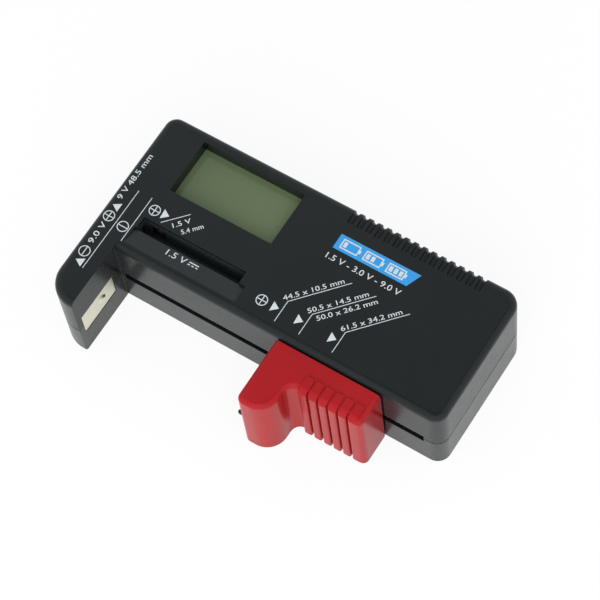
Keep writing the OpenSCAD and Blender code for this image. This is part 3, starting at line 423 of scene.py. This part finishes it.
# Printed marks are thin closed prisms that lie on the top face
class Print:
    def __init__(self, name, material, slot, level):
        self.name = name
        self.material = material
        self.slot = slot
        self.level = level
        self.mesh = bmesh.new()

    # New corner of the ink over a point, at a height above the ink's underside
    def corner(self, x, y, lift):
        return self.mesh.verts.new(case_point(x, y, self.level(x, y) + INK_LIFT + lift))

    def outline(self, points):
        lower = [self.corner(x, y, 0.0) for x, y in points]
        upper = [self.corner(x, y, INK_T) for x, y in points]
        count = len(points)
        self.mesh.faces.new(upper)
        self.mesh.faces.new(list(reversed(lower)))
        for i in range(count):
            j = (i + 1) % count
            self.mesh.faces.new((lower[i], lower[j], upper[j], upper[i]))

    def line(self, a, b, width):
        run = Vector((b[0] - a[0], b[1] - a[1])).normalized()
        side = Vector((-run.y, run.x)) * width / 2
        self.outline([
            (a[0] - side.x, a[1] - side.y), (b[0] - side.x, b[1] - side.y),
            (b[0] + side.x, b[1] + side.y), (a[0] + side.x, a[1] + side.y),
        ])

    # A bent line of two stretches, mitred at its middle point
    def bent_line(self, a, b, c, width):
        first = Vector((b[0] - a[0], b[1] - a[1])).normalized()
        second = Vector((c[0] - b[0], c[1] - b[1])).normalized()
        side_a = Vector((-first.y, first.x)) * width / 2
        side_c = Vector((-second.y, second.x)) * width / 2
        mitre = (side_a + side_c).normalized()
        mitre *= width / 2 / mitre.dot(side_a.normalized())
        self.outline([
            (a[0] - side_a.x, a[1] - side_a.y), (b[0] - mitre.x, b[1] - mitre.y),
            (c[0] - side_c.x, c[1] - side_c.y), (c[0] + side_c.x, c[1] + side_c.y),
            (b[0] + mitre.x, b[1] + mitre.y), (a[0] + side_a.x, a[1] + side_a.y),
        ])

    def circle(self, x, y, radius, lift):
        turns = [360.0 * i / RING_STEPS for i in range(RING_STEPS)]
        return [self.corner(*turned_point(x, y, turn, radius, 0.0), lift) for turn in turns]

    def ring(self, x, y, radius, width):
        low_in = self.circle(x, y, radius - width, 0.0)
        low_out = self.circle(x, y, radius, 0.0)
        high_in = self.circle(x, y, radius - width, INK_T)
        high_out = self.circle(x, y, radius, INK_T)
        for i in range(RING_STEPS):
            j = (i + 1) % RING_STEPS
            self.mesh.faces.new((high_in[i], high_out[i], high_out[j], high_in[j]))
            self.mesh.faces.new((low_in[j], low_out[j], low_out[i], low_in[i]))
            self.mesh.faces.new((low_out[i], low_out[j], high_out[j], high_out[i]))
            self.mesh.faces.new((low_in[j], low_in[i], high_in[i], high_in[j]))

    def bar(self, x, y, angle, length, width):
        half = length / 2
        thin = width / 2
        corners = [(-half, -thin), (half, -thin), (half, thin), (-half, thin)]
        self.outline([turned_point(x, y, angle, along, across) for along, across in corners])

    # A plus or minus sign in a ring
    def polarity(self, x, y, angle, plus):
        self.ring(x, y, SIGN_R, SIGN_W)
        half = SIGN_R - SIGN_W - SIGN_GAP
        self.bar(x, y, angle, 2 * half, SIGN_W)
        if plus:
            stub = half - SIGN_W / 2
            for side in (1, -1):
                middle = turned_point(x, y, angle, 0.0, side * (SIGN_W + stub) / 2)
                self.bar(*middle, angle + 90, stub, SIGN_W)

    # An arrow head with its tip at a point, aimed away from the slider
    def arrow(self, x, y):
        self.outline([(x, y)] + [(x + dx, y + dy) for dx, dy in ARROW_SIDES])

    # An arrow head with its tip at a point, aimed at the left face
    def side_arrow(self, x, y, length):
        foot = x + length
        self.outline([(x, y), (foot, y - SIDE_ARROW_HALF_W), (foot, y + SIDE_ARROW_HALF_W)])

    # Plain numbers and unit signs, set from a point over a given length
    def number(self, body, x, y, angle, height, length):
        shape = flat_text(body, height)
        stretch = length / max(vert.co.x for vert in shape.verts)
        lower = {}
        upper = {}
        for vert in shape.verts:
            place = turned_point(x, y, angle, vert.co.x * stretch, vert.co.y)
            lower[vert] = self.corner(*place, 0.0)
            upper[vert] = self.corner(*place, INK_T)
        for face in shape.faces:
            loop = list(face.verts)
            if face.normal.z < 0:
                loop.reverse()
            self.mesh.faces.new([upper[v] for v in loop])
            self.mesh.faces.new([lower[v] for v in reversed(loop)])
            for i, a in enumerate(loop):
                b = loop[(i + 1) % len(loop)]
                if len(shape.edges.get((a, b)).link_faces) == 1:
                    self.mesh.faces.new((lower[a], lower[b], upper[b], upper[a]))
        shape.free()

    def done(self):
        data = bpy.data.meshes.new(self.name)
        bmesh.ops.recalc_face_normals(self.mesh, faces=self.mesh.faces)
        self.mesh.to_mesh(data)
        self.mesh.free()
        data.materials.append(self.material)
        piece = bpy.data.objects.new(self.name, data)
        scene.collection.objects.link(piece)
        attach(piece, "case")


# Faces that carry ink: the level top, the strip that falls towards the slot, and the blue field
def top_level(x, y):
    return CASE_H


def ramp_level(x, y):
    return CASE_H - RAMP_DROP * (y - RAMP_Y0) / (CELL_Y0 - RAMP_Y0)


def field_level(x, y):
    return CASE_H + INK_T


# Lines that part the button cell signs and the nine volt signs from the rest
LINES_BACK_Y = 17.3
marks = Print("printed_marks", white_ink, "white_plastic", top_level)
for line_x, line_front_y in ((10.1, 2.4), (5.8, -9.4)):
    marks.line((line_x, line_front_y), (line_x, LINES_BACK_Y), LINE_W)

# Nine volt signs along the left edge, read from the arm towards the back
marks.side_arrow(2.7, -8.1, 2.3)
marks.polarity(3.4, -5.0, ACROSS, plus=False)
marks.number("9.0 V", 4.0, -2.3, ACROSS, 1.75, 7.0)
marks.polarity(3.1, 7.0, ACROSS, plus=True)
marks.side_arrow(2.0, 10.4, 2.2)
marks.number("9 V 48.5 mm", 3.2, 12.6, ACROSS, 1.7, 15.4)

# Button cell signs
marks.polarity(8.1, 6.2, 0.0, plus=False)
marks.polarity(12.8, 14.5, ACROSS, plus=True)
marks.arrow(15.0, 16.2)
marks.line((16.2, 12.3), (21.8, 18.3), LINE_W)
marks.number("1.5 V", 19.6, 12.2, DIAGONAL, TEXT_H, 5.6)
marks.number("5.4 mm", 23.0, 12.0, DIAGONAL, TEXT_H, 6.2)

# Round cell signs with a bent leader for each cell size
LEADERS = [
    (58.0, ["44.5 x 10.5 mm"]),
    (65.45, ["50.5 x 14.5 mm", "50.0 x 26.2 mm"]),
    (75.65, ["61.5 x 34.2 mm"]),
]
LEADER_FRONT_Y = 3.1
LEADER_BEND_Y = 9.7
LEADER_BACK_Y = 22.6
LEADER_RUN = 11.6
LEADER_ARROW_GAP = 3.05
LEADER_ARROW_Y = 8.0
LABEL_STARTS = [(-1.0, 0.6), (0.6, -2.2)]
LABEL_L = 16.6
marks.polarity(51.9, 6.6, ACROSS, plus=True)
for x, labels in LEADERS:
    bend = (x, LEADER_BEND_Y)
    marks.arrow(x - LEADER_ARROW_GAP, LEADER_ARROW_Y)
    marks.bent_line((x, LEADER_FRONT_Y), bend, (x + LEADER_RUN, LEADER_BACK_Y), LINE_W)
    for label, (along, lift) in zip(labels, LABEL_STARTS):
        start = turned_point(*bend, DIAGONAL, along, lift)
        marks.number(label, *start, DIAGONAL, TEXT_H, LABEL_L)

# Row of plain numbers under the blue field
marks.number("1.5 V - 3.0 V - 9.0 V", 58.8, 25.6, 0.0, 1.8, 23.2)
marks.done()

# The strip carries a plain number with the sign for direct current, a bar over three dashes
DIRECT_X = 30.6
DIRECT_BAR_Y = 6.6
DIRECT_DASH_Y = 5.8
DIRECT_W = 0.36
DASH_L = 0.7
DASH_STEP = 1.2
strip_marks = Print("strip_marks", white_ink, "white_plastic", ramp_level)
strip_marks.number("1.5 V", 21.6, 5.2, 0.0, 2.0, 6.8)
strip_marks.bar(DIRECT_X, DIRECT_BAR_Y, 0.0, 3.0, DIRECT_W)
for step in (-1, 0, 1):
    strip_marks.bar(DIRECT_X + step * DASH_STEP, DIRECT_DASH_Y, 0.0, DASH_L, DIRECT_W)
strip_marks.done()

# Blue field with a slanted right end
FIELD_X0 = 59.6
FIELD_X1 = 82.2
FIELD_SLANT = 1.9
FIELD_Y0 = 29.0
FIELD_Y1 = 33.6
field = Print("blue_field", blue_ink, "case_plastic", top_level)
field.outline([
    (FIELD_X0, FIELD_Y0), (FIELD_X1, FIELD_Y0),
    (FIELD_X1 + FIELD_SLANT, FIELD_Y1), (FIELD_X0, FIELD_Y1),
])
field.done()

# Three charge signs on the field, each an outlined cell with its pole and one to three bars
CHARGE_X = 61.2
CHARGE_STEP = 7.0
CHARGE_L = 5.0
CHARGE_W = 2.6
RIM = 0.36
POLE_GAP = 0.45
POLE_L = 1.1
POLE_W = 0.5
CHARGE_BAR_X = 1.0
CHARGE_BAR_STEP = 1.5
CHARGE_BAR_L = CHARGE_W - 2 * RIM - 0.3
CHARGE_BAR_W = 1.0
charge = Print("charge_signs", white_ink, "white_plastic", field_level)
charge_y = (FIELD_Y0 + FIELD_Y1) / 2
for index in range(3):
    left = CHARGE_X + index * CHARGE_STEP
    right = left + CHARGE_L
    for side in (1, -1):
        charge.bar((left + right) / 2, charge_y + side * CHARGE_W / 2, 0.0, CHARGE_L + RIM, RIM)
    for end in (left, right):
        charge.bar(end, charge_y, ACROSS, CHARGE_W - RIM, RIM)
    charge.bar(right + POLE_GAP, charge_y, ACROSS, POLE_L, POLE_W)
    for bar in range(index + 1):
        bar_x = left + CHARGE_BAR_X + bar * CHARGE_BAR_STEP
        charge.bar(bar_x, charge_y, ACROSS, CHARGE_BAR_L, CHARGE_BAR_W)
charge.done()

# Floor: white to the eye and in reflections, and it keeps the shadow of the object
FLOOR_REACH = 3.0
FLOOR_DROP = 0.00005
FLOOR_GREY = 0.82
VIEW_GLOW = 0.88
MIRROR_GLOW = 0.40


def floor_white():
    material = bpy.data.materials.new("floor_white")
    material.use_nodes = True
    tree = material.node_tree
    tree.nodes.clear()
    lit = add_node(tree, "ShaderNodeBsdfDiffuse")
    lit.inputs["Color"].default_value = (*grey(FLOOR_GREY), 1.0)
    glow = add_node(tree, "ShaderNodeEmission")
    glow.inputs["Strength"].default_value = 1.0
    rays = add_node(tree, "ShaderNodeLightPath").outputs
    mirrored = math_node(tree, "MAXIMUM", rays["Is Glossy Ray"], rays["Is Transmission Ray"])
    in_view = math_node(tree, "MULTIPLY", rays["Is Camera Ray"], VIEW_GLOW)
    in_mirrors = math_node(tree, "MULTIPLY", mirrored, MIRROR_GLOW)
    blend = add_node(tree, "ShaderNodeMixShader")
    tree.links.new(math_node(tree, "ADD", in_view, in_mirrors), blend.inputs["Fac"])
    tree.links.new(lit.outputs["BSDF"], blend.inputs[1])
    tree.links.new(glow.outputs["Emission"], blend.inputs[2])
    output = add_node(tree, "ShaderNodeOutputMaterial")
    tree.links.new(blend.outputs["Shader"], output.inputs["Surface"])
    return material


floor_corners = [(x * FLOOR_REACH, y * FLOOR_REACH, 0.0) for x, y in ((-1, -1), (1, -1), (1, 1), (-1, 1))]
floor_mesh = bpy.data.meshes.new("floor")
floor_mesh.from_pydata(floor_corners, [], [(0, 1, 2, 3)])
floor_mesh.materials.append(floor_white())
floor = bpy.data.objects.new("floor", floor_mesh)
floor.location = (0, 0, -FLOOR_DROP)
scene.collection.objects.link(floor)

# A dome of even light with a dark gap overhead, which draws a dark line along the rounded top edges
DOME_COLOUR = (0.96, 0.98, 1.0, 1.0)
DOME = 0.80
GAP = 0.05
GAP_DIRECTION = (0.03, 0.0, 1.0)
GAP_OUTER = math.radians(36.0)
GAP_INNER = math.radians(10.0)
world = bpy.data.worlds.new("studio")
scene.world = world
world.use_nodes = True
tree = world.node_tree
sky = tree.nodes["Background"]
sky.inputs["Color"].default_value = DOME_COLOUR
direction = add_node(tree, "ShaderNodeTexCoord").outputs["Generated"]
towards = add_node(tree, "ShaderNodeVectorMath", operation="DOT_PRODUCT")
towards.inputs[1].default_value = GAP_DIRECTION
tree.links.new(direction, towards.inputs[0])
strength = map_range(
    tree, towards.outputs["Value"], DOME, GAP, math.cos(GAP_OUTER), math.cos(GAP_INNER), "SMOOTHSTEP")
tree.links.new(strength, sky.inputs["Strength"])

# Two large soft boxes on the side of the camera: one high for the top, one low for the front.
# They are kept out of the gloss, as cross-polarised lamps are.
BOX_SIZE = 1.1
BOX_AIM = Vector((0.0, 0.0, 0.01))


def soft_box(name, place, energy):
    lamp = bpy.data.lights.new(name, "AREA")
    lamp.size = BOX_SIZE
    lamp.energy = energy
    holder = bpy.data.objects.new(name, lamp)
    holder.location = place
    aim = BOX_AIM - holder.location
    holder.rotation_euler = aim.to_track_quat("-Z", "Y").to_euler()
    holder.visible_glossy = False
    scene.collection.objects.link(holder)


soft_box("high_box", (0.30, -0.36, 1.10), 7.1)
soft_box("low_box", (0.42, -1.00, 0.55), 10.6)

# Camera fitted to the edges of the case in the photograph: angles in degrees, places in case millimetres
AZIMUTH = 40.97
ELEVATION = 63.29
ROLL = -9.51
DISTANCE = 660.5
FOCAL_PX = 2474.1
IMAGE_PX = 600
SENSOR_W = 36.0
TARGET = (55.21, 17.72, 12.0)

az = math.radians(AZIMUTH)
el = math.radians(ELEVATION)
roll = math.radians(ROLL)
back = Vector((math.sin(az) * math.cos(el), -math.cos(az) * math.cos(el), math.sin(el)))
level_right = (-back).cross(Vector((0, 0, 1))).normalized()
level_up = level_right.cross(-back)
right = math.cos(roll) * level_right + math.sin(roll) * level_up
up = -math.sin(roll) * level_right + math.cos(roll) * level_up
camera_data = bpy.data.cameras.new("camera")
camera_data.sensor_width = SENSOR_W
camera_data.lens = FOCAL_PX / IMAGE_PX * SENSOR_W
camera_data.clip_start = 0.01
camera = bpy.data.objects.new("camera", camera_data)
place = case_point(*TARGET) + back * DISTANCE * MM
camera.matrix_world = Matrix((
    (right.x, up.x, back.x, place.x),
    (right.y, up.y, back.y, place.y),
    (right.z, up.z, back.z, place.z),
    (0.0, 0.0, 0.0, 1.0),
))
scene.collection.objects.link(camera)
scene.camera = camera
scene.view_settings.view_transform = "Standard"
